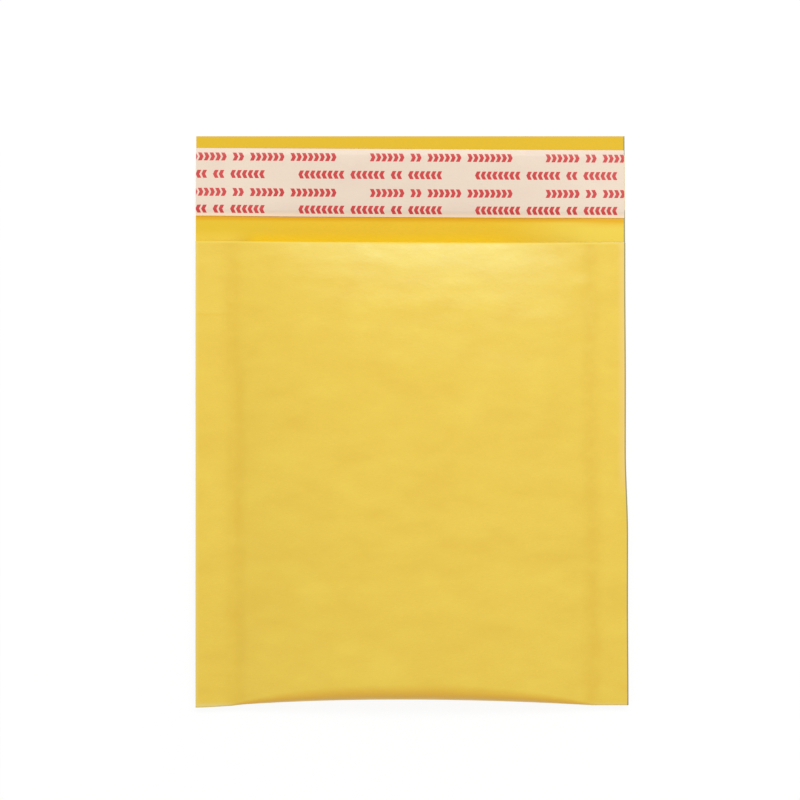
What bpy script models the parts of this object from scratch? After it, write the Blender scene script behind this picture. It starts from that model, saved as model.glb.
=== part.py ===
"""A padded kraft envelope, empty and unsealed, lying on its back.

The paper is one sheet: front panel, round bottom fold, back panel and flap. Inside it lies one web of
bubble film, folded the same way and melted together along both side seams. A band of adhesive and its
peel-off liner cross the flap.

Metres, +Z up. X runs across the envelope and Y from the bottom fold to the flap. The origin is on the
table, under the middle of the outline.
"""

import math

import bmesh
import bpy
from mathutils import Vector
from mathutils.bvhtree import BVHTree
from mathutils.geometry import delaunay_2d_cdt

# Outline, seen from above
PANEL_WIDTH = 0.166
BODY_LENGTH = 0.1785
FLAP_LENGTH = 0.041
SEAM_WIDTH = 0.0138
EDGE_TAPER = 0.0015
TAPER_RUN = 0.12
LEFT_CORNER_DROP = 0.0009
ARCH = 0.0023

# Heights of the puffed body above the table
BODY_HEIGHT = 0.013
MOUTH_HEIGHT = 0.0088
DROOP_LENGTH = 0.065
DROOP_POWER = 3
PUFF_POWER = 2.6
SEAM_LIFT = 0.0022
REST_WIDTH = 0.06
FOLD_ASPECT = 1.05

# Layers, from the outside in
PAPER = 0.00015
LAYER_GAP = 0.00025
FILM = 0.0002

# Bubbles, which stand on the film and face into the pocket
BUBBLE_DIAMETER = 0.01
BUBBLE_PITCH = 0.012
BUBBLE_HEIGHT = 0.0022
BUBBLE_TOP_SHARE = 0.86
BUBBLE_SIDES = 10
BUBBLE_SIDE_MARGIN = 0.006
BUBBLE_END_MARGIN = 0.0045
SQUEEZE = 0.9

# Adhesive band and its liner, on the flap's inner side
LINER_START = 0.0098
LINER_WIDTH = 0.0262
LINER = 0.0001
ADHESIVE_WIDTH = 0.021
ADHESIVE = 0.00015

# Places worked out from the sizes above
HALF_WIDTH = PANEL_WIDTH / 2
POCKET_HALF = HALF_WIDTH - SEAM_WIDTH
BOTTOM_Y = -(BODY_LENGTH + FLAP_LENGTH) / 2
MOUTH_Y = BOTTOM_Y + BODY_LENGTH
FILM_OUTSIDE = PAPER + LAYER_GAP
FILM_INSIDE = FILM_OUTSIDE + FILM
SEAM_HEIGHT = 2 * FILM_INSIDE

# Where the meshes have their columns and rows, as shares
POCKET_COLUMNS = (0.0, 0.2, 0.4, 0.57, 0.72, 0.84, 0.93, 1.0)
DROOP_ROWS = (0.0, 0.09, 0.2, 0.33, 0.5, 0.7, 1.0)
BODY_ROWS = 3
FOLD_SEGMENTS = 8
FLAP_ROWS = 4
WELD = 1e-6
SMOOTH_BELOW = math.radians(35)


def smooth(share):
    """An ease from 0 to 1."""
    share = min(max(share, 0.0), 1.0)
    return share * share * (3 - 2 * share)


def puff(x):
    """How far the padding has risen at x: 0 at a side seam, 1 along the middle."""
    return 1 - min(abs(x) / POCKET_HALF, 1.0) ** PUFF_POWER


def lift(x):
    """Height of the back panel's outside: flat in the middle, rising to the side seams."""
    flat = REST_WIDTH / 2
    share = (min(abs(x), POCKET_HALF) - flat) / (POCKET_HALF - flat)
    return SEAM_LIFT * max(share, 0.0) ** 2


def thickness(x, y):
    """Outer thickness of the pouch, which droops towards the mouth."""
    droop = max(1 - (MOUTH_Y - y) / DROOP_LENGTH, 0.0) ** DROOP_POWER
    middle = BODY_HEIGHT - (BODY_HEIGHT - MOUTH_HEIGHT) * droop
    return SEAM_HEIGHT + (middle - SEAM_HEIGHT) * puff(x)


def fold_axes(x):
    """Half height and reach of the bottom fold's half ellipse."""
    half_height = thickness(x, BOTTOM_Y) / 2
    return half_height, half_height * FOLD_ASPECT


def fold_edge(x):
    """The bottom edge of the outline: the padding pulls it in, and the left corner hangs lower."""
    arch = 1 - min(abs(x) / POCKET_HALF, 1.0) ** 2
    past_corner = smooth((x + HALF_WIDTH) / (2 * SEAM_WIDTH))
    return BOTTOM_Y + LEFT_CORNER_DROP * past_corner + ARCH * arch


def fold_start(x):
    """Where the flat walls end and the bottom fold begins."""
    return fold_edge(x) + fold_axes(x)[1]


def placed(x, y, z):
    """A point in the envelope's frame, with the slight taper of its right edge."""
    taper = EDGE_TAPER * smooth((y - BOTTOM_Y) / TAPER_RUN)
    return Vector((x * (1 - taper / HALF_WIDTH) if x > 0 else x, y, z))


def wall_y(x, share):
    """From the mouth, share 0, to where the bottom fold begins, share 1."""
    return MOUTH_Y + share * (fold_start(x) - MOUTH_Y)


def front_point(x, share, depth):
    """A point of the front wall, at a depth below the paper's outside."""
    y = wall_y(x, share)
    return placed(x, y, lift(x) + thickness(x, y) - depth)


def fold_point(x, turn, depth):
    """A point of the bottom fold: turn 0 at the front wall, 1 at the back wall."""
    half_height, reach = fold_axes(x)
    y = fold_start(x) - (reach - depth) * math.sin(math.pi * turn)
    z = lift(x) + half_height + (half_height - depth) * math.cos(math.pi * turn)
    return placed(x, y, z)


def back_point(x, share, depth):
    """A point of the back wall, at a depth above the paper's outside."""
    return placed(x, wall_y(x, share), lift(x) + depth)


def flap_point(x, distance, depth):
    """A point of the flap, at a distance past the mouth. The flap settles onto the table."""
    settled = 1 - smooth(distance / FLAP_LENGTH)
    return placed(x, MOUTH_Y + distance, lift(x) * settled + depth)


def columns():
    """Places across the whole envelope, from the left edge to the right."""
    right = [POCKET_HALF * share for share in POCKET_COLUMNS] + [HALF_WIDTH]
    return [-x for x in reversed(right[1:])] + right


def wall_shares():
    """Rows of a wall from the mouth to the fold, closer together towards the mouth."""
    drooping = DROOP_LENGTH / (MOUTH_Y - fold_start(0))
    body = [drooping + (1 - drooping) * (i + 1) / BODY_ROWS for i in range(BODY_ROWS)]
    return [drooping * row for row in DROOP_ROWS] + body


def pouch_rows(across, depth):
    """Rows of points from the mouth down the front, round the fold and up the back."""
    turns = [i / FOLD_SEGMENTS for i in range(1, FOLD_SEGMENTS)]
    front = [[front_point(x, share, depth) for x in across] for share in wall_shares()]
    fold = [[fold_point(x, turn, depth) for x in across] for turn in turns]
    back = [[back_point(x, share, depth) for x in across] for share in reversed(wall_shares())]
    return front + fold + back


def add_face(mesh, points):
    """One face on its own corners; welding joins it to its neighbours later."""
    mesh.faces.new([mesh.verts.new(point) for point in points])


def add_grid(mesh, rows):
    """Four-sided faces between rows of points, facing out of the envelope."""
    for upper, lower in zip(rows, rows[1:]):
        for i in range(len(upper) - 1):
            add_face(mesh, (upper[i], lower[i], lower[i + 1], upper[i + 1]))


def weld(mesh):
    bmesh.ops.remove_doubles(mesh, verts=mesh.verts, dist=WELD)
    bmesh.ops.dissolve_degenerate(mesh, edges=mesh.edges, dist=WELD)


def material(name, colour, roughness, transmission=0.0):
    """A plain Principled material."""
    made = bpy.data.materials.new(name)
    made.use_nodes = True
    shader = made.node_tree.nodes["Principled BSDF"]
    shader.inputs["Base Color"].default_value = (*colour, 1.0)
    shader.inputs["Roughness"].default_value = roughness
    shader.inputs["Metallic"].default_value = 0.0
    shader.inputs["Transmission Weight"].default_value = transmission
    return made


def add_object(name, mesh, finish):
    """Turns a bmesh into a named object with smooth curves and crisp edges."""
    data = bpy.data.meshes.new(name)
    mesh.to_mesh(data)
    mesh.free()
    data.materials.append(finish)
    data.shade_smooth()
    data.set_sharp_from_angle(angle=SMOOTH_BELOW)
    made = bpy.data.objects.new(name, data)
    bpy.context.scene.collection.objects.link(made)
    return made


def thicken(sheet, amount, side):
    """Gives a sheet its thickness, on its outer side (1) or its inner side (-1)."""
    solidify = sheet.modifiers.new("thickness", "SOLIDIFY")
    solidify.thickness = amount
    solidify.offset = side
    solidify.use_even_offset = True


def kraft_envelope():
    """The paper: one sheet from the mouth's front edge to the flap's free edge."""
    across = columns()
    steps = [FLAP_LENGTH * (i + 1) / FLAP_ROWS for i in range(FLAP_ROWS)]
    flap = [[flap_point(x, step, 0) for x in across] for step in steps]
    mesh = bmesh.new()
    add_grid(mesh, pouch_rows(across, 0) + flap)
    weld(mesh)
    sheet = add_object("kraft_envelope", mesh, material("yellow_kraft", (0.83, 0.56, 0.06), 0.55))
    thicken(sheet, PAPER, -1)


def bubble_centres():
    """Centres of the staggered bubbles on one wall, row by row from the mouth."""
    corner = BUBBLE_PITCH / math.sqrt(3)
    row_step = BUBBLE_PITCH * math.sqrt(3) / 2
    field_width = 2 * (POCKET_HALF - BUBBLE_SIDE_MARGIN)
    first = MOUTH_Y - BUBBLE_END_MARGIN - corner
    last = fold_start(0) + BUBBLE_END_MARGIN + corner
    stagger = BUBBLE_PITCH / 2
    per_row = math.floor((field_width - stagger) / BUBBLE_PITCH)
    left = -((per_row - 1) * BUBBLE_PITCH + stagger) / 2
    for row in range(math.floor((first - last) / row_step) + 1):
        shift = stagger * (row % 2)
        for i in range(per_row):
            yield left + shift + i * BUBBLE_PITCH, first - row * row_step


def ring(x, y, radius, sides):
    """Corners of a regular polygon with a corner on its +Y side."""
    angles = [2 * math.pi * i / sides for i in range(sides)]
    return [(x + radius * math.sin(a), y + radius * math.cos(a)) for a in angles]


def bubble_rise(x, y):
    """Height of a bubble's top over the film: less where the two walls close on each other."""
    room = thickness(x, y) / 2 - FILM_INSIDE
    return min(BUBBLE_HEIGHT, SQUEEZE * room)


def wall_layout(outline):
    """A wall's flat layout: its outline, one cell and one raised top for each bubble.

    Returns the points, the edges that the triangles keep, and how far each point rises over the film.
    """
    points, rises, edges = list(outline), [0.0] * len(outline), []
    known = {}

    def add_loop(corners, is_top):
        loop = []
        for x, y in corners:
            key = (round(x / WELD), round(y / WELD), is_top)
            if key not in known:
                known[key] = len(points)
                points.append((x, y))
                rises.append(bubble_rise(x, y) if is_top else 0.0)
            loop.append(known[key])
        edges.extend(zip(loop, loop[1:] + loop[:1]))

    cell_radius = BUBBLE_PITCH / math.sqrt(3)
    top_radius = BUBBLE_DIAMETER / 2 * BUBBLE_TOP_SHARE
    for x, y in bubble_centres():
        add_loop(ring(x, y, cell_radius, 6), False)
        add_loop(ring(x, y, top_radius, BUBBLE_SIDES), True)
    return points, edges, rises


def add_bubbled_wall(mesh, outline, film_outside, is_front):
    """One inner wall of the lining, between the mouth, the seam lines and the bottom fold.

    outline is the wall's rim as points at the film's inside, in order. Points within it are dropped
    onto film_outside, so that the film keeps its thickness everywhere.
    """
    inward = -1 if is_front else 1
    flat, edges, rises = wall_layout([(p.x, p.y) for p in outline])
    corners, _, faces, sources, _, _ = delaunay_2d_cdt(
        [Vector(p) for p in flat], edges, [list(range(len(outline)))], 1, WELD
    )
    solid_points = []
    for (x, y), source in zip(corners, sources):
        if source[0] < len(outline):
            solid_points.append(outline[source[0]])
            continue
        above = Vector((x, y, -inward))
        hit = film_outside.ray_cast(above, Vector((0, 0, inward)))[0]
        solid_points.append(hit + Vector((0, 0, inward * (FILM + rises[source[0]]))))
    for face in faces:
        add_face(mesh, [solid_points[i] for i in face])


def outside_tree(rows):
    """The film's outside as a tree that rays can hit."""
    outside = bmesh.new()
    add_grid(outside, rows)
    bmesh.ops.triangulate(outside, faces=outside.faces)
    tree = BVHTree.FromBMesh(outside)
    outside.free()
    return tree


def wall_rim(wall_rows):
    """The rim of a wall as one loop: the mouth, a seam line, the fold and the other seam line."""
    right = [row[-1] for row in wall_rows[1:-1]]
    left = [row[0] for row in reversed(wall_rows[1:-1])]
    return wall_rows[0] + right + wall_rows[-1][::-1] + left


def add_mouth_rim(mesh, outer, inner):
    """The lining's cut edge at the mouth: two thin walls, and one melted strip on each seam."""
    for outside, inside in ((outer[0], inner[0]), (outer[-1], inner[-1])):
        for i in range(len(inside) - 1):
            add_face(mesh, (outside[i + 1], outside[i + 2], inside[i + 1], inside[i]))
    for edge, seam, pocket in ((0, 1, 0), (-1, -2, -1)):
        strip = (outer[0][edge], outer[0][seam], inner[0][pocket], outer[-1][seam], outer[-1][edge])
        add_face(mesh, strip)


def add_side_rims(mesh, outer):
    """The lining's cut edges down both sides, where its two layers are melted together."""
    wall_rows = len(wall_shares())
    for side in (0, -1):
        front = [row[side] for row in outer[:wall_rows]]
        back = [row[side] for row in outer[: -wall_rows - 1 : -1]]
        for i in range(wall_rows - 1):
            add_face(mesh, (front[i], front[i + 1], back[i + 1], back[i]))
        add_face(mesh, [row[side] for row in outer[wall_rows - 1 : len(outer) - wall_rows + 1]])


def bubble_lining():
    """The bubble film: a pouch inside the paper, with bubbles on both inner walls."""
    across = columns()
    wall_rows = len(wall_shares())
    outer = pouch_rows(across, FILM_OUTSIDE)
    inner = pouch_rows(across[1:-1], FILM_INSIDE)
    front_outside = outside_tree(outer[:wall_rows])
    back_outside = outside_tree(outer[-wall_rows:])
    mesh = bmesh.new()
    add_grid(mesh, outer)
    add_grid(mesh, inner[wall_rows - 1 : len(inner) - wall_rows + 1])
    add_bubbled_wall(mesh, wall_rim(inner[:wall_rows]), front_outside, True)
    add_bubbled_wall(mesh, wall_rim(inner[: -wall_rows - 1 : -1]), back_outside, False)
    add_mouth_rim(mesh, outer, inner)
    add_side_rims(mesh, outer)
    weld(mesh)
    bmesh.ops.recalc_face_normals(mesh, faces=mesh.faces)
    add_object("bubble_lining", mesh, material("clear_film", (0.86, 0.88, 0.88), 0.25, 0.6))


def flap_strip(name, start, width, depth, amount, finish):
    """A band across the flap, lying at a depth over the paper's outside."""
    across = columns()
    mesh = bmesh.new()
    add_grid(mesh, [[flap_point(x, start + width, depth) for x in across],
                    [flap_point(x, start, depth) for x in across]])
    weld(mesh)
    strip = add_object(name, mesh, finish)
    thicken(strip, amount, 1)


def clear_scene():
    for old in list(bpy.data.objects):
        bpy.data.objects.remove(old)


def main():
    clear_scene()
    kraft_envelope()
    bubble_lining()
    on_paper = PAPER + LAYER_GAP
    on_adhesive = on_paper + ADHESIVE + LAYER_GAP
    adhesive_start = LINER_START + (LINER_WIDTH - ADHESIVE_WIDTH) / 2
    hot_melt = material("hot_melt", (0.85, 0.78, 0.6), 0.3)
    silicone_paper = material("silicone_paper", (0.84, 0.66, 0.52), 0.45)
    flap_strip("adhesive_strip", adhesive_start, ADHESIVE_WIDTH, on_paper, ADHESIVE, hot_melt)
    flap_strip("release_liner", LINER_START, LINER_WIDTH, on_adhesive, LINER, silicone_paper)


main()
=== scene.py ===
"""The looks of a padded kraft envelope that lies empty and unsealed on its back.

The solids give the sizes. Each of them is replaced by a fine mesh of the same form: the paper with
its soft wrinkles, the bubble film, the adhesive and the peel-off liner with its printed arrow marks.

Metres, +Z up. X runs across the envelope and Y from the bottom fold to the flap.
"""

import math

import bmesh
import bpy
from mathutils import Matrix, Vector, noise
from mathutils.geometry import delaunay_2d_cdt


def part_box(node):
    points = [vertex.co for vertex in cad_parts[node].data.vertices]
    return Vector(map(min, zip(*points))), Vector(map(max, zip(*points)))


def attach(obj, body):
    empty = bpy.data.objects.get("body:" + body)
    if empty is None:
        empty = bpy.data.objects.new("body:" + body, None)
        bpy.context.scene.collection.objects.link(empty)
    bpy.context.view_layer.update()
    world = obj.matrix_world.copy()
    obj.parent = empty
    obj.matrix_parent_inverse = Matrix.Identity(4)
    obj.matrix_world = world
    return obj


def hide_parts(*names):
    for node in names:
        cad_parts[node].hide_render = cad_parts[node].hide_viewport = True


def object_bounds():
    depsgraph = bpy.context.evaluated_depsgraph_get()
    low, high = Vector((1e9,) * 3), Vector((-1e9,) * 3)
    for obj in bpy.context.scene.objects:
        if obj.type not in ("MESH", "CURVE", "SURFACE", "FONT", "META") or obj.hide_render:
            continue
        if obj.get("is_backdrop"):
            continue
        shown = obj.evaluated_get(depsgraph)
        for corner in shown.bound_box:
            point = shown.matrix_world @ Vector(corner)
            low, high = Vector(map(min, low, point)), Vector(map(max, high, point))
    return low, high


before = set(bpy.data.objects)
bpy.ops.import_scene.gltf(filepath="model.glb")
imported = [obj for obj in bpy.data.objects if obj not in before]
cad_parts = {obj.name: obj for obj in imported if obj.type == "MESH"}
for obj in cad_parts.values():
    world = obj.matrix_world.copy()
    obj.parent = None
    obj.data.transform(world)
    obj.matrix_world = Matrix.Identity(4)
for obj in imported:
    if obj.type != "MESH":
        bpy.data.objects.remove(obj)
cad_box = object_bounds()

# Sizes that the solids give
paper_low, paper_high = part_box("kraft_envelope")
_, lining_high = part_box("bubble_lining")
adhesive_low, adhesive_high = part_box("adhesive_strip")
liner_low, liner_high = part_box("release_liner")
PANEL_WIDTH = paper_high.x - paper_low.x
BODY_HEIGHT = paper_high.z
BOTTOM_Y = paper_low.y
MOUTH_Y = lining_high.y
FLAP_LENGTH = paper_high.y - MOUTH_Y

# Form of the puffed body, and its layers
SEAM_WIDTH = 0.0138
# The right edge's taper, as steps inwards: how much, from where and to where
TAPER_STEPS = ((0.00016, -0.107, -0.068), (0.00084, -0.0435, -0.011), (0.0002, 0.012, 0.058))
LEFT_CORNER_DROP = 0.0009
LEFT_CORNER_RUN = 0.0207
ARCH = 0.0027
ARCH_SKEW = 0.1
MOUTH_HEIGHT = 0.0088
DROOP_LENGTH = 0.065
DROOP_POWER = 3
PUFF_POWER = 2.6
SEAM_LIFT = 0.0022
REST_WIDTH = 0.06
FOLD_ASPECT = 1.05
FOLD_POWER = 1.95
PAPER = 0.00015
LAYER_GAP = 0.00025
FILM = 0.0002
ADHESIVE = 0.00015
LINER = 0.0001

# Bubbles, which face into the pocket
BUBBLE_DIAMETER = 0.01
BUBBLE_PITCH = 0.012
BUBBLE_HEIGHT = 0.0022
BUBBLE_SIDES = 20
BUBBLE_SIDE_MARGIN = 0.006
BUBBLE_END_MARGIN = 0.0045
SQUEEZE = 0.9
# A bubble's rings from its foot up, each as shares of the bubble's radius and height
BUBBLE_RINGS = ((1.0, 0.0), (0.98, 0.36), (0.92, 0.68), (0.78, 0.9), (0.5, 0.99))

# Relief of the paper
SEAM_EASE = 0.005
SEAM_GROOVE = 0.00021
SEAM_GROOVE_WIDTH = 0.0026
SEAM_GROOVE_LENGTH = 0.02
# Width of the painted shade along each seam line
SEAM_SHADE_WIDTH = 0.0056
SEAM_STEP = 0.0019
SEAM_STEP_FROM, SEAM_STEP_TO = 0.026, 0.013
PUCKER = 0.00016
PUCKER_WIDTH = 0.004
PUCKER_LENGTH = 0.0055
EDGE_WAVE = 0.0004
EDGE_WAVE_LENGTH = 0.05
SWELL = 0.00027
SWELL_SIZE = (0.05, 0.016)
MOTTLE = 0.00008
MOTTLE_SIZE = (0.016, 0.006)
# The front is calm beside the bottom fold, and its swells sink to a share on the lip
FOLD_CALM = 0.02
LIP_CALM = 0.045
LIP_SHARE = 0.12
# Each crease's Y, and the X where it ends
CREASES = ((-0.06, -0.064), (0.0416, -0.066))
CREASE = 0.00009
CREASE_HALF = 0.0009
CREASE_FADE = 0.01
# Width of the strip along the right cut edge that is painted dark as shade
SHADED_CUT_EDGE = 0.0005
# Layers of the noise. The seams' waves take the next layer for the right side
SWELL_LAYER, MOTTLE_LAYER = 0, 5
GROOVE_LAYER, EDGE_LAYER, PUCKER_LAYER = 0, 3, 7

# The mouth's front edge: a little lower on the right and in the middle
MOUTH_RISE = 0.00012
MOUTH_SLANT = 0.0039
MOUTH_DIP = 0.00065

# The liner lies slightly askew, and its free margins settle towards the flap
LINER_SLANT = 0.0056
LINER_SETTLE = 0.0005
LINER_RIGHT_GAP = 0.0003

# Arrow marks on the liner
MARK_PITCH = 0.00222
MARK_HEIGHT = 0.0031
MARK_WIDTH = 0.0022
MARK_STROKE = 0.00145
MARK_GROUPS = (6, 2, 6, 8)
MARK_REPEAT = 0.0683
MARK_REPEATS = 2
# Each row's place below the liner's upper edge, the X it starts at, and its direction
MARK_ROWS = ((0.0033, -0.0162, 1), (0.01005, -0.0437, -1), (0.017, -0.0162, 1), (0.0235, -0.0437, -1))

# Fineness of the meshes, as numbers of columns and rows
PAPER_COLUMNS, PAPER_SEAM_COLUMNS = 130, 12
FRONT_ROWS, CREASE_ROWS, FOLD_ROWS, BACK_ROWS, FLAP_ROWS = 110, 5, 22, 60, 28
LINING_COLUMNS, LINING_SEAM_COLUMNS = 60, 6
LINING_ROWS, LINING_FOLD_ROWS = 44, 14
LINING_SIDE_ROWS, LINING_SIDE_COLUMNS = 120, 8
ADHESIVE_COLUMNS, ADHESIVE_SEAM_COLUMNS, ADHESIVE_ROWS = 60, 3, 12
LINER_COLUMNS, LINER_ROWS, LINER_MARGIN_ROWS = 57, 7, 5
# The columns beside a seam line reach so far out and in, and others keep clear of them
SEAM_COLUMNS_OUT, SEAM_COLUMNS_IN = -0.004, 0.007
COLUMN_GAP = 0.0002
# The lining's points beside the seams: in from its edge, and clear of the bubbles
SIDE_POINTS_IN, SIDE_POINTS_CLEAR = 0.0008, 0.0004
# How evenly a wall's rows are spaced. At 1 they don't gather on the lip
ROW_EVENNESS = 0.35
SHARP_ANGLE = math.radians(40)
WELD = 1e-6

# Where the finishes change: where a change begins, and where it is full.
# Painted shade, by how the paper faces in Y
FOLD_SHADE = (0.06, -0.9)
FOLD_FRONT_SHADE = (-0.65, -0.97)
# By the distance from an edge, the mouth, a seam line or the liner
MOUTH_RIM = (0.001, 0.0002)
RIGHT_RIM_HIGHLIGHT = (-0.0048, -0.0018)
LEFT_RIM = (0.0013, 0.0003)
CORNER_RIM = (0.0024, 0.0006)
CORNER_RIM_ASIDE = (-0.006, 0.0)
FLAP_BOUNCE = (0.005, 0.0)
FLAP_CORNER = (0.006, 0.0)
FLAP_TOP = (0.03, 0.036)
LINER_RIM = (-0.0022, -0.0006)
LINER_SHADE = (0.0024, 0.0004)
LINER_CORNER_SHADOW = (0.0044, 0.0)
LINER_COVER = (-0.006, -0.002)
# By the place in X or Y
RIGHT_RIM_HIGHLIGHT_Y = (-0.031, -0.018)
FLAP_BOUNCE_LEFT_X, FLAP_BOUNCE_RIGHT_X = (-0.067, -0.057), (0.058, 0.02)
FLAP_CORNER_X = (-0.06, -0.07)
FLAP_SHADE_X = (-0.03, -0.07)
FLAP_SHEEN_X = (0.03, 0.07)
LINER_CORNER_SHADOW_X = (0.055, 0.078)

# Finishes
SHEEN_TINT = (0.45, 1, 1, 1)
ROUGHNESS_SPREAD = 0.05
DULL_ROUGHNESS = 0.2
KRAFT_FIBRES = 0.72
LINER_FIBRES = 0.8
FIBRE_RELIEF = 0.00002
FILM_RELIEF = 0.0001
FILM_ALPHA = 0.1
# More alpha on the film's steep parts: how far it faces up, and how much is added
FILM_STEEP, FILM_STEEP_ALPHA = (0.97, 0.3), 0.32
NOISE_LOW, NOISE_HIGH = 0.3, 0.7

# Light
WORLD_LIGHT = 0.565
KEY_POWER = 6.95
KEY_WIDTH = 1.2
KEY_HEIGHT = 0.2
KEY_DISTANCE = 1.05
KEY_FROM_ZENITH = math.radians(33)
KEY_TURN = math.radians(12.5)

# Floor. Close to the envelope it glows less, so that the shadow shows
FLOOR_HALF = 40.0
FLOOR_DROP = 0.00005
FLOOR_COLOUR = (0.85, 0.85, 0.85, 1)
FLOOR_GLOW = 1.03
FLOOR_GLOW_SHARE = 0.88
FLOOR_GLOW_FROM, FLOOR_GLOW_TO = 0.15, 0.8

# The photograph's frame, in its own pixels, and the lens
PHOTO_SIZE = 800
PHOTO_LEFT, PHOTO_RIGHT = 195.5, 628.5
PHOTO_TOP, PHOTO_BOTTOM = 135.5, 707.5
LENS = 100.0
SENSOR = 36.0

# Places worked out from the sizes above
HALF_WIDTH = PANEL_WIDTH / 2
POCKET_HALF = HALF_WIDTH - SEAM_WIDTH
LINING_HALF = POCKET_HALF + SEAM_EASE
FILM_OUTSIDE = PAPER + LAYER_GAP
FILM_INSIDE = FILM_OUTSIDE + FILM
SEAM_HEIGHT = 2 * FILM_INSIDE


def smooth(share):
    """An ease from 0 to 1."""
    share = min(max(share, 0.0), 1.0)
    return share * share * (3 - 2 * share)


def bell(distance, width):
    """A soft bump: 1 at distance 0, falling away over the width."""
    return math.exp(-((distance / width) ** 2))


def hills(x, y, length_x, length_y, layer):
    """Smooth noise, about -0.7 to 0.7, whose hills are about so long in X and in Y.

    Each layer has hills of its own.
    """
    return noise.noise(Vector((x / length_x, y / length_y, layer)))


# The envelope's form, by place


def puff(x):
    """How far the padding has risen at x: 0 at a side seam, 1 along the middle, with a soft start."""
    inside = POCKET_HALF - abs(x)
    if inside < SEAM_EASE:
        inside = max(inside + SEAM_EASE, 0) ** 2 / (4 * SEAM_EASE)
    return 1 - (1 - inside / POCKET_HALF) ** PUFF_POWER


def lift(x):
    """Height of the back panel's outside: flat in the middle, rising to the side seams."""
    flat = REST_WIDTH / 2
    share = (min(abs(x), POCKET_HALF) - flat) / (POCKET_HALF - flat)
    return SEAM_LIFT * max(share, 0.0) ** 2


def thickness(x, y):
    """Outer thickness of the pouch, which droops towards the mouth."""
    droop = max(1 - (MOUTH_Y - y) / DROOP_LENGTH, 0.0) ** DROOP_POWER
    middle = BODY_HEIGHT - (BODY_HEIGHT - MOUTH_HEIGHT) * droop
    return SEAM_HEIGHT + (middle - SEAM_HEIGHT) * puff(x)


def fold_axes(x):
    """Half height and reach of the bottom fold's half ellipse."""
    half_height = thickness(x, BOTTOM_Y) / 2
    return half_height, half_height * FOLD_ASPECT


def fold_start(x):
    """Where the flat walls end and the bottom fold begins."""
    across = min(max(x / POCKET_HALF, -1.0), 1.0)
    arch = ARCH * (1 - across**2) * (1 - ARCH_SKEW * across)
    past_corner = smooth((x + HALF_WIDTH) / LEFT_CORNER_RUN)
    return BOTTOM_Y + LEFT_CORNER_DROP * past_corner + arch + fold_axes(x)[1]


def mouth_line(x):
    """Where the front wall ends at the mouth."""
    across = min(abs(x) / POCKET_HALF, 1.0)
    return MOUTH_Y + MOUTH_RISE - MOUTH_SLANT * x - MOUTH_DIP * (1 - across**2)


def seam_line(x, y):
    """How far a seam's pressed line lies from the middle. The left one steps inwards below the mouth."""
    if x > 0:
        return POCKET_HALF
    return POCKET_HALF - SEAM_STEP * smooth((SEAM_STEP_FROM - y) / (SEAM_STEP_FROM - SEAM_STEP_TO))


def placed(x, y, z):
    """A point in the envelope's frame, with the slight taper of its right edge."""
    taper = sum(inwards * smooth((y - start) / (end - start)) for inwards, start, end in TAPER_STEPS)
    return Vector((x * (1 - taper / HALF_WIDTH) if x > 0 else x, y, z))


def sway(x, y):
    """Relief that all layers share: the groove along each seam line, and the seams' slow waves."""
    to_seam = abs(x) - seam_line(x, y)
    ripple = hills(0, y, 1, SEAM_GROOVE_LENGTH, GROOVE_LAYER + (x > 0))
    groove = SEAM_GROOVE * bell(to_seam, SEAM_GROOVE_WIDTH) * (1 + ripple)
    edge = smooth((abs(x) - REST_WIDTH / 2) / (HALF_WIDTH - REST_WIDTH / 2))
    wave = hills(0, y, 1, EDGE_WAVE_LENGTH, EDGE_LAYER + (x > 0))
    return edge * EDGE_WAVE * wave - groove


def crease(x, y):
    """Two faint creases across the left seam."""
    height = 0.0
    for crease_y, crease_end in CREASES:
        tent = max(1 - abs(y - crease_y) / CREASE_HALF, 0.0)
        height += CREASE * tent * smooth((crease_end - x) / CREASE_FADE)
    return height


def relief(x, y):
    """Relief of the front wall alone: slow swells, fine mottling, and puckers beside the seam lines."""
    inside = smooth(puff(x) * 2)
    off_fold = smooth((y - fold_start(x)) / FOLD_CALM)
    off_lip = LIP_SHARE + (1 - LIP_SHARE) * smooth((MOUTH_Y - y) / LIP_CALM)
    swell = SWELL * off_lip * hills(x, y, *SWELL_SIZE, SWELL_LAYER)
    mottle = MOTTLE * hills(x, y, *MOTTLE_SIZE, MOTTLE_LAYER)
    beside_seam = bell(POCKET_HALF - abs(x) - PUCKER_WIDTH, PUCKER_WIDTH)
    pucker = PUCKER * beside_seam * hills(0, y, 1, PUCKER_LENGTH, PUCKER_LAYER + (x > 0))
    return off_fold * (inside * (swell + mottle) + pucker)


def front_place(x, y, depth):
    """A point of the front wall, at a depth below the paper's outside."""
    return placed(x, y, lift(x) + thickness(x, y) + sway(x, y) + crease(x, y) + relief(x, y) - depth)


def back_place(x, y, depth):
    """A point of the back wall, at a depth above the paper's outside."""
    return placed(x, y, lift(x) + sway(x, y) + depth)


def front_y(x, share):
    """On the front wall, from the mouth, share 0, to where the bottom fold begins, share 1."""
    return mouth_line(x) + share * (fold_start(x) - mouth_line(x))


def back_y(x, share):
    """The same on the back wall, which runs on as the flap."""
    return MOUTH_Y + share * (fold_start(x) - MOUTH_Y)


def front_row(x, share, depth):
    """A point of the front wall, by its share of the way to the fold."""
    return front_place(x, front_y(x, share), depth)


def back_row(x, share, depth):
    """The same on the back wall."""
    return back_place(x, back_y(x, share), depth)


def fold_row(x, turn, depth):
    """A point of the bottom fold: turn 0 at the front wall, 1 at the back wall."""
    half_height, reach = fold_axes(x)
    power = 2 / FOLD_POWER
    out, up = math.sin(math.pi * turn), math.cos(math.pi * turn)
    y = fold_start(x) - (reach - depth) * abs(out) ** power
    z = lift(x) + half_height + (half_height - depth) * math.copysign(abs(up) ** power, up)
    return placed(x, y, z + sway(x, y))


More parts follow.
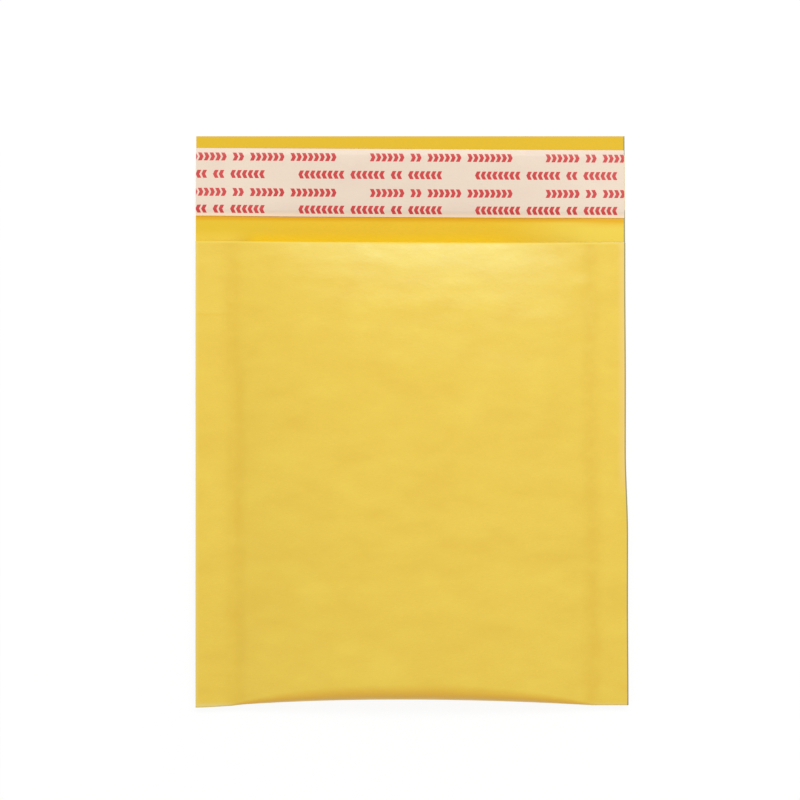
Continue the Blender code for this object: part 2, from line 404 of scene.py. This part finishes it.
def flap_row(x, distance, depth):
    """A point of the flap, at a distance past the mouth. The flap settles onto the table."""
    settled = 1 - smooth(distance / FLAP_LENGTH)
    y = MOUTH_Y + distance
    return placed(x, y, (lift(x) + sway(x, y)) * settled + depth)


# Meshes


def even(first, last, count):
    """Evenly spaced values, both ends included."""
    return [first + (last - first) * i / (count - 1) for i in range(count)]


def finish_piece(name, corners, faces, slots, materials, solid):
    """Makes an object of a closed mesh and lets it stand for its solid."""
    data = bpy.data.meshes.new(name)
    data.from_pydata(corners, [], faces)
    data.polygons.foreach_set("material_index", slots)
    mesh = bmesh.new()
    mesh.from_mesh(data)
    unused = [corner for corner in mesh.verts if not corner.link_faces]
    bmesh.ops.delete(mesh, geom=unused, context="VERTS")
    bmesh.ops.remove_doubles(mesh, verts=mesh.verts, dist=WELD)
    bmesh.ops.dissolve_degenerate(mesh, edges=mesh.edges, dist=WELD)
    bmesh.ops.recalc_face_normals(mesh, faces=mesh.faces)
    mesh.to_mesh(data)
    mesh.free()
    for material in materials:
        data.materials.append(material)
    data.shade_smooth()
    data.set_sharp_from_angle(angle=SHARP_ANGLE)
    piece = bpy.data.objects.new(name, data)
    bpy.context.scene.collection.objects.link(piece)
    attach(piece, "root")
    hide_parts(solid)
    return piece


def sheet_between(outer, inner):
    """Corners, faces and slots of a closed sheet between two grids of points that match.

    The first grid's faces have slot 0, and the other grid's faces and the rims have slot 1.
    """
    rows, across = len(outer), len(outer[0])
    corners = [point for row in outer + inner for point in row]
    below = rows * across
    faces, slots = [], []
    for r in range(rows - 1):
        for c in range(across - 1):
            a = r * across + c
            quad = (a, a + across, a + across + 1, a + 1)
            faces.append(quad)
            faces.append(tuple(below + i for i in reversed(quad)))
            slots += [0, 1]
    rim = list(range(across))
    rim += [r * across + across - 1 for r in range(1, rows)]
    rim += [(rows - 1) * across + c for c in range(across - 2, -1, -1)]
    rim += [r * across for r in range(rows - 2, 0, -1)]
    for a, b in zip(rim, rim[1:] + rim[:1]):
        faces.append((a, b, below + b, below + a))
        slots.append(1)
    return corners, faces, slots


def columns(count, extra):
    """Places across the envelope, with extra ones close to the seam lines."""
    marks = [LINING_HALF, -LINING_HALF, HALF_WIDTH - SHADED_CUT_EDGE]
    for offset in even(SEAM_COLUMNS_OUT, SEAM_COLUMNS_IN, extra):
        marks += [POCKET_HALF - offset, offset - POCKET_HALF]
    places = even(-HALF_WIDTH, HALF_WIDTH, count)
    loose = [x for x in places if min(abs(x - mark) for mark in marks) > COLUMN_GAP]
    return sorted(loose + marks)


def wall_shares(count):
    """Rows of a wall from the mouth to the fold, closer together on the drooping lip."""
    return [ROW_EVENNESS * share + (1 - ROW_EVENNESS) * share * share for share in even(0, 1, count)]


def make_paper(outside, inside, shaded_cut_edge):
    """The kraft paper: one sheet from the mouth's front edge to the flap's free edge."""
    across = columns(PAPER_COLUMNS, PAPER_SEAM_COLUMNS)
    length = MOUTH_Y - fold_start(0)
    steps = even(-CREASE_HALF, CREASE_HALF, CREASE_ROWS)
    creases = [(MOUTH_Y - y + step) / length for y, _ in CREASES for step in steps]
    front = sorted(set(wall_shares(FRONT_ROWS) + creases))
    rows = [(front_row, share) for share in front]
    rows += [(fold_row, turn) for turn in even(0, 1, FOLD_ROWS)[1:-1]]
    rows += [(back_row, share) for share in reversed(wall_shares(BACK_ROWS))]
    rows += [(flap_row, step) for step in even(0, FLAP_LENGTH, FLAP_ROWS)[1:]]

    def grid(depth):
        return [[row(x, value, depth) for x in across] for row, value in rows]

    corners, faces, slots = sheet_between(grid(0), grid(PAPER))
    # The outermost strip on the right is the cut edge, painted dark as shade
    strips = len(across) - 1
    for i in range(2 * strips * (len(rows) - 1)):
        if i // 2 % strips == strips - 1:
            slots[i] = 2
    finishes = (outside, inside, shaded_cut_edge)
    return finish_piece("kraft_paper", corners, faces, slots, finishes, "kraft_envelope")


def bubble_centres():
    """Centres of the staggered bubbles on one wall, row by row from the mouth."""
    corner = BUBBLE_PITCH / math.sqrt(3)
    row_step = BUBBLE_PITCH * math.sqrt(3) / 2
    field_width = 2 * (POCKET_HALF - BUBBLE_SIDE_MARGIN)
    first = MOUTH_Y - BUBBLE_END_MARGIN - corner
    last = fold_start(0) + BUBBLE_END_MARGIN + corner
    stagger = BUBBLE_PITCH / 2
    per_row = math.floor((field_width - stagger) / BUBBLE_PITCH)
    left = -((per_row - 1) * BUBBLE_PITCH + stagger) / 2
    for row in range(math.floor((first - last) / row_step) + 1):
        shift = stagger * (row % 2)
        for i in range(per_row):
            yield left + shift + i * BUBBLE_PITCH, first - row * row_step


def bubbled_wall(across, shares, wall_y, place):
    """Corners and faces of one inner wall: the film from seam to seam, with a dome for each bubble."""
    rim = [(x, wall_y(x, 0)) for x in across]
    rim += [(LINING_HALF, wall_y(LINING_HALF, share)) for share in shares[1:-1]]
    rim += [(x, wall_y(x, 1)) for x in reversed(across)]
    rim += [(-LINING_HALF, wall_y(-LINING_HALF, share)) for share in reversed(shares[1:-1])]
    flat = [Vector(point) for point in rim]
    rises = [0.0] * len(flat)
    edges = []
    for x, y in bubble_centres():
        room = thickness(x, y) / 2 - FILM_INSIDE
        height = min(BUBBLE_HEIGHT, SQUEEZE * room)
        for radius_share, height_share in BUBBLE_RINGS:
            first = len(flat)
            for i in range(BUBBLE_SIDES):
                angle = 2 * math.pi * i / BUBBLE_SIDES
                radius = BUBBLE_DIAMETER / 2 * radius_share
                flat.append(Vector((x + radius * math.sin(angle), y + radius * math.cos(angle))))
                rises.append(height * height_share)
                edges.append((first + i, first + (i + 1) % BUBBLE_SIDES))
        flat.append(Vector((x, y)))
        rises.append(height)
    margins = even(SIDE_POINTS_IN, SEAM_EASE + BUBBLE_SIDE_MARGIN - SIDE_POINTS_CLEAR, LINING_SIDE_COLUMNS)
    for share in wall_shares(LINING_SIDE_ROWS)[1:-1]:
        for margin in margins:
            for x in (LINING_HALF - margin, margin - LINING_HALF):
                flat.append(Vector((x, wall_y(x, share))))
                rises.append(0.0)
    found, _, faces, sources, _, _ = delaunay_2d_cdt(flat, edges, [list(range(len(rim)))], 1, WELD)
    heights = [rises[source[0]] if source else 0.0 for source in sources]
    corners = [place(p.x, p.y, FILM_INSIDE + height) for p, height in zip(found, heights)]
    return corners, faces


def make_lining(film):
    """The bubble film: a pouch inside the paper, with bubbles on both inner walls."""
    across = columns(LINING_COLUMNS, LINING_SEAM_COLUMNS)
    shares = wall_shares(LINING_ROWS)
    turns = even(0, 1, LINING_FOLD_ROWS)[1:-1]
    web = [(front_row, share) for share in shares] + [(fold_row, turn) for turn in turns]
    web += [(back_row, share) for share in reversed(shares)]
    outer = [[row(x, value, FILM_OUTSIDE) for x in across] for row, value in web]
    pocket = [x for x in across if abs(x) < LINING_HALF + WELD]
    inner_fold = [(front_row, 1)] + [(fold_row, turn) for turn in turns] + [(back_row, 1)]
    corners, faces = [], []

    def add(points, new_faces):
        start = len(corners)
        corners.extend(points)
        faces.extend([tuple(start + i for i in face) for face in new_faces])

    def add_grid(rows):
        count = len(rows[0])
        quads = [
            (r * count + c, (r + 1) * count + c, (r + 1) * count + c + 1, r * count + c + 1)
            for r in range(len(rows) - 1)
            for c in range(count - 1)
        ]
        add([point for row in rows for point in row], quads)

    add_grid(outer)
    add_grid([[row(x, value, FILM_INSIDE) for x in pocket] for row, value in inner_fold])
    add(*bubbled_wall(pocket, shares, front_y, front_place))
    add(*bubbled_wall(pocket, shares, back_y, back_place))

    # The cut edges: two thin walls at the mouth, and the melted edges at the sides
    first, last = across.index(pocket[0]), across.index(pocket[-1])
    for row, outside in ((front_row, outer[0]), (back_row, outer[-1])):
        inside = [row(x, 0, FILM_INSIDE) for x in pocket]
        add_grid([outside[first : last + 1], inside])
    for start, end in ((0, first), (last, len(across) - 1)):
        middle = [front_row(across[i], 0, FILM_INSIDE) for i in range(start, end + 1)]
        add_grid([outer[0][start : end + 1], middle, outer[-1][start : end + 1]])
    for side, seam in ((0, -HALF_WIDTH), (-1, HALF_WIDTH)):
        fronts = [row[side] for row in outer]
        middle = [front_row(seam, share, FILM_INSIDE) for share in shares]
        add_grid([fronts[: len(shares)], middle, fronts[: -len(shares) - 1 : -1]])
        rim = [fronts[i] for i in range(len(shares) - 1, len(fronts) - len(shares) + 1)]
        add(rim + [middle[-1]], [tuple(range(len(rim) + 1))])
    slots = [0] * len(faces)
    piece = finish_piece("bubble_film", corners, faces, slots, (film,), "bubble_lining")
    return piece


def make_adhesive(glue):
    """The adhesive band on the flap, under the liner."""
    across = columns(ADHESIVE_COLUMNS, ADHESIVE_SEAM_COLUMNS)
    steps = even(adhesive_low.y - MOUTH_Y, adhesive_high.y - MOUTH_Y, ADHESIVE_ROWS)
    depth = PAPER + LAYER_GAP

    def grid(height):
        return [[flap_row(x, step, height) for x in across] for step in reversed(steps)]

    corners, faces, _ = sheet_between(grid(depth + ADHESIVE), grid(depth))
    slots = [0] * len(faces)
    return finish_piece("adhesive_band", corners, faces, slots, (glue,), "adhesive_strip")


def arrow_marks():
    """Outlines of the printed marks: four rows of grouped arrows, each second row pointing back."""
    for drop, start, direction in MARK_ROWS:
        y = liner_high.y - MOUTH_Y - drop
        for repeat in range(-MARK_REPEATS, MARK_REPEATS + 1):
            place = start + repeat * MARK_REPEAT
            for group in MARK_GROUPS[::direction]:
                for i in range(group):
                    tail = place + i * MARK_PITCH + (0 if direction > 0 else MARK_WIDTH)
                    if abs(tail) < HALF_WIDTH + MARK_PITCH:
                        yield arrow(tail, y, direction)
                place += (group + 1) * MARK_PITCH


def arrow(tail, y, direction):
    """One arrow mark, as the corners of its outline."""
    notch = MARK_WIDTH - MARK_STROKE
    upper = ((0, 0.5), (MARK_STROKE, 0.5))
    lower = ((MARK_STROKE, -0.5), (0, -0.5))
    shape = (*upper, (MARK_WIDTH, 0), *lower, (notch, 0))
    corners = [Vector((tail + direction * along, y + up * MARK_HEIGHT)) for along, up in shape]
    return corners[::-direction]


def make_liner(liner_paper, ink):
    """The peel-off liner, with its arrow marks as faces of their own in its top."""
    low, high = liner_low.y - MOUTH_Y, liner_high.y - MOUTH_Y
    margin = adhesive_low.y - liner_low.y
    depth = PAPER + LAYER_GAP + ADHESIVE + LAYER_GAP

    def settled(x, distance, height):
        to_edge = min(distance - low, high - distance)
        askew = distance - LINER_SLANT * x
        return flap_row(x, askew, height - LINER_SETTLE * (1 - smooth(to_edge / margin)))

    left, right = -HALF_WIDTH, HALF_WIDTH - LINER_RIGHT_GAP
    flat = [Vector(p) for p in ((left, low), (right, low), (right, high), (left, high))]
    outlines = [[0, 1, 2, 3]]
    edges = []
    for x in even(left, right, LINER_COLUMNS)[1:-1]:
        edges.append((len(flat), len(flat) + 1))
        flat += [Vector((x, low)), Vector((x, high))]
    insets = even(0, margin, LINER_MARGIN_ROWS)[1:]
    margins = [step for inset in insets for step in (low + inset, high - inset)]
    for y in margins + even(low + margin, high - margin, LINER_ROWS)[1:-1]:
        edges.append((len(flat), len(flat) + 1))
        flat += [Vector((left, y)), Vector((right, y))]
    for mark in arrow_marks():
        outlines.append(list(range(len(flat), len(flat) + len(mark))))
        flat += mark
    found, _, faces, _, _, owners = delaunay_2d_cdt(flat, edges, outlines, 1, WELD)
    tops, slots = [], []
    for face, owner in zip(faces, owners):
        if 0 in owner:
            tops.append(tuple(face))
            slots.append(1 if len(owner) > 1 else 0)
    count = len(found)
    corners = [settled(p.x, p.y, height) for height in (depth + LINER, depth) for p in found]
    sides = {}
    for face in tops:
        for a, b in zip(face, face[1:] + face[:1]):
            sides[(a, b)] = (b, a) in sides or sides.get((a, b), False)
    rims = [(b, a, a + count, b + count) for a, b in sides if (b, a) not in sides]
    bottoms = [tuple(count + i for i in reversed(face)) for face in tops]
    slots += [0] * (len(rims) + len(bottoms))
    faces = tops + rims + bottoms
    finishes = (liner_paper, ink)
    return finish_piece("peel_liner", corners, faces, slots, finishes, "release_liner")


# Shader nodes


def node(tree, kind, inputs=(), **settings):
    """A shader node with its settings, and its inputs as values or as sockets to link."""
    made = tree.nodes.new(kind)
    for key, value in settings.items():
        setattr(made, key, value)
    for key, value in dict(inputs).items():
        if isinstance(value, bpy.types.NodeSocket):
            tree.links.new(value, made.inputs[key])
        else:
            made.inputs[key].default_value = value
    return made


def principled(name, **values):
    """A new material, its node tree and its shader."""
    material = bpy.data.materials.new(name)
    material.use_nodes = True
    shader = material.node_tree.nodes["Principled BSDF"]
    for key, value in values.items():
        shader.inputs[key.replace("_", " ")].default_value = value
    return material, material.node_tree, shader


def spread(tree, value, low, high, least, most, **settings):
    """A value between low and high, spread out between least and most."""
    limits = {"From Min": low, "From Max": high, "To Min": least, "To Max": most}
    return node(tree, "ShaderNodeMapRange", {"Value": value, **limits}, **settings).outputs["Result"]


def grain(tree, stretch, scale, detail, least, most):
    """Noise between two values. The stretch of its axes sets how the grain runs."""
    place = node(tree, "ShaderNodeTexCoord").outputs["Object"]
    where = node(tree, "ShaderNodeMapping", {"Vector": place, "Scale": stretch}).outputs["Vector"]
    pattern = node(tree, "ShaderNodeTexNoise", {"Vector": where, "Scale": scale, "Detail": detail})
    return spread(tree, pattern.outputs["Fac"], NOISE_LOW, NOISE_HIGH, least, most)


def blend_colours(tree, amount, first, second):
    """A mix of two colours, which are values or sockets."""
    mix = node(tree, "ShaderNodeMix", data_type="RGBA")
    tree.links.new(amount, mix.inputs["Factor"])
    for socket, colour in (("A", first), ("B", second)):
        target = [i for i in mix.inputs if i.name == socket and i.type == "RGBA"][0]
        if isinstance(colour, bpy.types.NodeSocket):
            tree.links.new(colour, target)
        else:
            target.default_value = (*colour, 1)
    return [o for o in mix.outputs if o.type == "RGBA"][0]


def maths(tree, operation, *values):
    """The result of a sum on values or sockets."""
    return node(tree, "ShaderNodeMath", dict(enumerate(values)), operation=operation).outputs[0]


def add_values(tree, *values):
    """The total of values or sockets."""
    total = values[0]
    for value in values[1:]:
        total = maths(tree, "ADD", total, value)
    return total


def both(tree, first, second):
    """Where two masks meet."""
    return maths(tree, "MULTIPLY", first, second)


def ramp(tree, value, start, end, most=1.0):
    """A soft step of a value: 0 at start, most at end."""
    return spread(tree, value, start, end, 0.0, most, interpolation_type="SMOOTHSTEP")


def axis(tree, output, name):
    """One axis of the object's own coordinates or normals."""
    place = node(tree, "ShaderNodeTexCoord").outputs[output]
    return node(tree, "ShaderNodeSeparateXYZ", {0: place}).outputs[name]


def past(tree, name, place):
    """How far along X or Y past a place."""
    return maths(tree, "SUBTRACT", axis(tree, "Object", name), place)


# Masks of the finishes, many of them for painted shade, shadow, bounce light or highlight


def seam_groove_shade(tree):
    """Painted shade in the soft valley along each seam line, uneven along its length."""
    x, y = axis(tree, "Object", "X"), axis(tree, "Object", "Y")
    step = ramp(tree, y, SEAM_STEP_FROM, SEAM_STEP_TO, SEAM_STEP)
    share = POCKET_HALF / HALF_WIDTH
    tapers = [ramp(tree, y, start, end, inwards * share) for inwards, start, end in TAPER_STEPS]
    lines = (
        maths(tree, "SUBTRACT", step, POCKET_HALF),
        maths(tree, "SUBTRACT", POCKET_HALF, add_values(tree, *tapers)),
    )
    distances = [maths(tree, "ABSOLUTE", maths(tree, "SUBTRACT", x, line)) for line in lines]
    away = maths(tree, "MINIMUM", *distances)
    broad = grain(tree, (1, 1, 1), 110, 2, 0.5, 1.0)
    fine = grain(tree, (1, 1, 1), 330, 2, 0.6, 1.15)
    return both(tree, ramp(tree, away, SEAM_SHADE_WIDTH, 0.0), both(tree, broad, fine))


def fold_shade(tree):
    """Painted shade on the paper that turns over the bottom fold."""
    return ramp(tree, axis(tree, "Normal", "Y"), *FOLD_SHADE)


def fold_front_shade(tree):
    """Painted shade on the fold's foremost line."""
    return ramp(tree, axis(tree, "Normal", "Y"), *FOLD_FRONT_SHADE)


def below_mouth(tree):
    """How far a place lies below the mouth's front edge."""
    x, y = axis(tree, "Object", "X"), axis(tree, "Object", "Y")
    across = maths(tree, "MINIMUM", maths(tree, "POWER", maths(tree, "DIVIDE", x, POCKET_HALF), 2), 1.0)
    dip = maths(tree, "SUBTRACT", maths(tree, "MULTIPLY", across, MOUTH_DIP), MOUTH_DIP)
    slant = maths(tree, "MULTIPLY", x, -MOUTH_SLANT)
    line = add_values(tree, dip, slant, MOUTH_Y + MOUTH_RISE)
    return maths(tree, "SUBTRACT", line, y)


def mouth_rim(tree):
    """The soft line along the mouth's cut edge."""
    return ramp(tree, below_mouth(tree), *MOUTH_RIM)


def right_rim_highlight(tree):
    """A painted highlight on the pale strip beside the cut edge on the right, along the upper half."""
    upper = ramp(tree, axis(tree, "Object", "Y"), *RIGHT_RIM_HIGHLIGHT_Y)
    return both(tree, ramp(tree, past(tree, "X", HALF_WIDTH), *RIGHT_RIM_HIGHLIGHT), upper)


def left_rim(tree):
    """The pale line along the left edge."""
    return ramp(tree, past(tree, "X", -HALF_WIDTH), *LEFT_RIM)


def corner_rim(tree):
    """The pale creased line where the seams end at the bottom fold."""
    low = ramp(tree, past(tree, "Y", BOTTOM_Y), *CORNER_RIM)
    from_middle = maths(tree, "ABSOLUTE", axis(tree, "Object", "X"))
    past_seam = maths(tree, "SUBTRACT", from_middle, POCKET_HALF)
    return both(tree, low, ramp(tree, past_seam, *CORNER_RIM_ASIDE))


def flap_bounce_light(tree):
    """Painted warm bounce light on the flap just above the mouth, between the seams."""
    near = ramp(tree, past(tree, "Y", MOUTH_Y), *FLAP_BOUNCE)
    x = axis(tree, "Object", "X")
    between = both(tree, ramp(tree, x, *FLAP_BOUNCE_LEFT_X), ramp(tree, x, *FLAP_BOUNCE_RIGHT_X))
    return both(tree, near, between)


def flap_corner(tree):
    """The paler left corner of the flap beside the mouth."""
    near = ramp(tree, past(tree, "Y", MOUTH_Y), *FLAP_CORNER)
    return both(tree, near, ramp(tree, axis(tree, "Object", "X"), *FLAP_CORNER_X))


def flap_shade(tree):
    """Painted shade on the flap's darker left end."""
    return ramp(tree, axis(tree, "Object", "X"), *FLAP_SHADE_X)


def flap_top(tree):
    """The flap's darker free end, above the liner."""
    return ramp(tree, past(tree, "Y", MOUTH_Y), *FLAP_TOP)


def flap_pale_sheen(tree):
    """A painted sheen on the flap's paler right end."""
    return ramp(tree, axis(tree, "Object", "X"), *FLAP_SHEEN_X)


def below_liner(tree):
    """How far a place lies below the liner's lower edge."""
    slant = maths(tree, "MULTIPLY", axis(tree, "Object", "X"), -LINER_SLANT)
    line = maths(tree, "ADD", slant, liner_low.y)
    return maths(tree, "SUBTRACT", line, axis(tree, "Object", "Y"))


def close_below_liner(tree, begins, full):
    """A strip along the liner's lower edge, on the flap and a little way under the liner."""
    below = below_liner(tree)
    return both(tree, ramp(tree, below, begins, full), ramp(tree, below, *LINER_COVER))


def liner_shade(tree):
    """The painted amber shadow under the liner's lower edge."""
    return close_below_liner(tree, *LINER_SHADE)


def liner_corner_shadow(tree):
    """The same painted shadow at the liner's right end, where it is broader."""
    right = ramp(tree, axis(tree, "Object", "X"), *LINER_CORNER_SHADOW_X)
    return both(tree, close_below_liner(tree, *LINER_CORNER_SHADOW), right)


def liner_rim(tree):
    """The liner's own lower edge, which catches the light."""
    return ramp(tree, below_liner(tree), *LINER_RIM)


# Materials


def roughen(tree, shader, height, strength, distance):
    """Gives a shader a fine surface relief."""
    bump = node(tree, "ShaderNodeBump", {"Height": height, "Strength": strength, "Distance": distance})
    tree.links.new(bump.outputs["Normal"], shader.inputs["Normal"])


def kraft(name, colour, shade, roughness, gloss, tints=(), dull=None):
    """Yellow kraft paper: cloudy formation, fine fibres that lie across, and a slightly uneven surface.

    tints pair a mask with the colour painted there, often painted shade, shadow or highlight. dull is a
    mask where gloss fades.
    """
    material, tree, shader = principled(name, Specular_IOR_Level=gloss, Specular_Tint=SHEEN_TINT)
    clouds = grain(tree, (1, 2, 1), 60, 4, 0.0, 1.0)
    base = blend_colours(tree, clouds, colour, shade)
    fibres = grain(tree, (1, 5, 3), 700, 3, 0.0, 0.16)
    dark_fibre = tuple(KRAFT_FIBRES * part for part in colour)
    base = blend_colours(tree, fibres, base, dark_fibre)
    for mask, tint in tints:
        base = blend_colours(tree, mask(tree), base, tint)
    tree.links.new(base, shader.inputs["Base Color"])
    uneven = grain(tree, (1, 2, 1), 160, 2, roughness - ROUGHNESS_SPREAD, roughness + ROUGHNESS_SPREAD)
    if dull:
        uneven = add_values(tree, uneven, maths(tree, "MULTIPLY", dull(tree), DULL_ROUGHNESS))
    tree.links.new(uneven, shader.inputs["Roughness"])
    fine = grain(tree, (1, 3, 2), 900, 3, 0.0, 1.0)
    coarse = grain(tree, (1, 1.6, 1), 170, 2, 0.0, 2.5)
    roughen(tree, shader, add_values(tree, fine, coarse), 0.5, FIBRE_RELIEF)
    return material


def bubble_film():
    """Clear soft film with a faint milkiness, which shows most on the bubbles' steep sides."""
    milky = (0.96, 0.97, 0.97, 1)
    material, tree, shader = principled("bubble_film", Base_Color=milky, Specular_IOR_Level=0.6)
    upright = maths(tree, "ABSOLUTE", axis(tree, "Normal", "Z"))
    steep = ramp(tree, upright, *FILM_STEEP, FILM_STEEP_ALPHA)
    tree.links.new(add_values(tree, steep, FILM_ALPHA), shader.inputs["Alpha"])
    haze = grain(tree, (1, 1, 1), 140, 2, 0.1, 0.2)
    tree.links.new(haze, shader.inputs["Roughness"])
    wrinkles = grain(tree, (1, 1, 1), 420, 2, 0.0, 1.0)
    roughen(tree, shader, wrinkles, 0.35, FILM_RELIEF)
    return material


def hot_melt():
    """The adhesive: glossy, amber, slightly cloudy."""
    material, tree, shader = principled("adhesive", Roughness=0.22)
    clouds = grain(tree, (1, 2, 1), 120, 3, 0.0, 1.0)
    amber = blend_colours(tree, clouds, (0.8, 0.62, 0.3), (0.85, 0.7, 0.42))
    tree.links.new(amber, shader.inputs["Base Color"])
    return material


def liner_finish(name, first, second, rim):
    """Silicone-coated paper or the ink on it: a little glossy, cloudy, with a painted highlight along the
    lower edge.
    """
    material, tree, shader = principled(name, Specular_IOR_Level=0.4)
    clouds = grain(tree, (1, 1.5, 1), 70, 3, 0.0, 1.0)
    fibres = grain(tree, (1, 4, 2), 800, 2, 0.0, 0.12)
    base = blend_colours(tree, clouds, first, second)
    base = blend_colours(tree, fibres, base, tuple(LINER_FIBRES * part for part in first))
    base = blend_colours(tree, liner_rim(tree), base, rim)
    tree.links.new(base, shader.inputs["Base Color"])
    tree.links.new(grain(tree, (1, 1, 1), 200, 2, 0.38, 0.46), shader.inputs["Roughness"])
    roughen(tree, shader, grain(tree, (1, 2, 1), 500, 2, 0.0, 1.0), 0.3, FIBRE_RELIEF)
    return material


# Stage


def seen_rays(tree):
    """1 for rays that look at a surface or mirror it, 0 for those that gather light."""
    path = node(tree, "ShaderNodeLightPath")
    kinds = [path.outputs[kind] for kind in ("Is Camera Ray", "Is Glossy Ray", "Is Transmission Ray")]
    return node(tree, "ShaderNodeClamp", {"Value": add_values(tree, *kinds)}).outputs["Result"]


def make_floor():
    """A plain white floor, which looks white to the camera and keeps a soft shadow."""
    data = bpy.data.meshes.new("floor")
    corners = [(FLOOR_HALF * x, FLOOR_HALF * y, 0) for x, y in ((-1, -1), (1, -1), (1, 1), (-1, 1))]
    data.from_pydata(corners, [], [(0, 1, 2, 3)])
    floor = bpy.data.objects.new("floor", data)
    floor.location.z = -FLOOR_DROP
    bpy.context.scene.collection.objects.link(floor)
    material = bpy.data.materials.new("floor")
    material.use_nodes = True
    tree = material.node_tree
    tree.nodes.clear()
    place = node(tree, "ShaderNodeTexCoord").outputs["Object"]
    away = node(tree, "ShaderNodeVectorMath", {0: place}, operation="LENGTH").outputs["Value"]
    share = spread(tree, away, FLOOR_GLOW_FROM, FLOOR_GLOW_TO, FLOOR_GLOW_SHARE, 1.0)
    seen = both(tree, seen_rays(tree), share)
    plain = node(tree, "ShaderNodeBsdfDiffuse", {"Color": FLOOR_COLOUR})
    glow = node(tree, "ShaderNodeEmission", {"Color": (1, 1, 1, 1), "Strength": FLOOR_GLOW})
    mix = node(tree, "ShaderNodeMixShader", {0: seen, 1: plain.outputs[0], 2: glow.outputs[0]})
    node(tree, "ShaderNodeOutputMaterial", {"Surface": mix.outputs[0]})
    data.materials.append(material)
    floor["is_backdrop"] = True


def make_lights():
    """One softbox from above the flap, a little to the right, and an even surround."""
    world = bpy.data.worlds.new("surround")
    bpy.context.scene.world = world
    world.use_nodes = True
    tree = world.node_tree
    tree.nodes.clear()
    strength = spread(tree, seen_rays(tree), 0.0, 1.0, WORLD_LIGHT, 1.0)
    surround = node(tree, "ShaderNodeBackground", {"Color": (1, 1, 1, 1), "Strength": strength})
    node(tree, "ShaderNodeOutputWorld", {"Surface": surround.outputs[0]})

    light = bpy.data.lights.new("softbox", "AREA")
    light.shape = "RECTANGLE"
    light.size = KEY_WIDTH
    light.size_y = KEY_HEIGHT
    light.energy = KEY_POWER
    softbox = bpy.data.objects.new("softbox", light)
    level = math.sin(KEY_FROM_ZENITH)
    height = math.cos(KEY_FROM_ZENITH)
    direction = Vector((level * math.sin(KEY_TURN), level * math.cos(KEY_TURN), height))
    softbox.location = direction * KEY_DISTANCE
    softbox.rotation_euler = direction.to_track_quat("Z", "Y").to_euler()
    bpy.context.scene.collection.objects.link(softbox)


def make_camera():
    """Straight above the envelope, framed as in the photograph."""
    pixel = PANEL_WIDTH / (PHOTO_RIGHT - PHOTO_LEFT)
    off_x = (PHOTO_SIZE / 2 - (PHOTO_LEFT + PHOTO_RIGHT) / 2) * pixel
    off_y = ((PHOTO_TOP + PHOTO_BOTTOM) / 2 - PHOTO_SIZE / 2) * pixel
    data = bpy.data.cameras.new("camera")
    data.lens = LENS
    data.sensor_width = SENSOR
    camera = bpy.data.objects.new("camera", data)
    distance = PHOTO_SIZE * pixel * LENS / SENSOR
    seam_height = SEAM_LIFT + SEAM_HEIGHT
    camera.location = (off_x, off_y, distance + seam_height)
    bpy.context.scene.collection.objects.link(camera)
    bpy.context.scene.camera = camera


def main():
    """Dresses the solids and sets the stage."""
    bpy.context.scene.view_settings.view_transform = "Standard"
    # Many of these tints are painted shade, shadow, bounce light or highlight
    outside_tints = (
        (seam_groove_shade, (0.79, 0.505, 0.034)),
        (fold_shade, (0.96, 0.485, 0.005)),
        (fold_front_shade, (0.90, 0.52, 0.02)),
        (mouth_rim, (0.875, 0.62, 0.058)),
        (right_rim_highlight, (0.875, 0.59, 0.125)),
        (left_rim, (0.83, 0.60, 0.12)),
        (corner_rim, (0.83, 0.62, 0.16)),
    )
    inside_tints = (
        (flap_pale_sheen, (0.85, 0.62, 0.08)),
        (flap_shade, (0.79, 0.52, 0.035)),
        (flap_top, (0.76, 0.485, 0.03)),
        (flap_bounce_light, (0.97, 0.625, 0.016)),
        (flap_corner, (0.86, 0.60, 0.065)),
        (liner_shade, (0.77, 0.385, 0.012)),
        (liner_corner_shadow, (0.80, 0.43, 0.022)),
    )
    outside = ((0.875, 0.607, 0.058), (0.835, 0.548, 0.045))
    inside = ((0.885, 0.565, 0.034), (0.865, 0.545, 0.030))
    # Painted shade for the right cut edge
    shaded_cut_edge = ((0.36, 0.31, 0.14), (0.33, 0.28, 0.13))
    make_paper(
        kraft("kraft_outside", *outside, roughness=0.345, gloss=0.66, tints=outside_tints, dull=mouth_rim),
        kraft("kraft_inside", *inside, roughness=0.75, gloss=0.15, tints=inside_tints),
        kraft("kraft_shaded_cut_edge", *shaded_cut_edge, roughness=0.6, gloss=0.3),
    )
    make_lining(bubble_film())
    make_adhesive(hot_melt())
    make_liner(
        liner_finish("liner_paper", (0.79, 0.655, 0.525), (0.77, 0.62, 0.50), (0.92, 0.71, 0.51)),
        liner_finish("red_ink", (0.55, 0.03, 0.03), (0.60, 0.042, 0.042), (0.60, 0.07, 0.07)),
    )
    make_floor()
    make_lights()
    make_camera()


main()
boxes = {"cad": cad_box, "visual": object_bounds()}
{name: [list(corner) for corner in box] for name, box in boxes.items()}
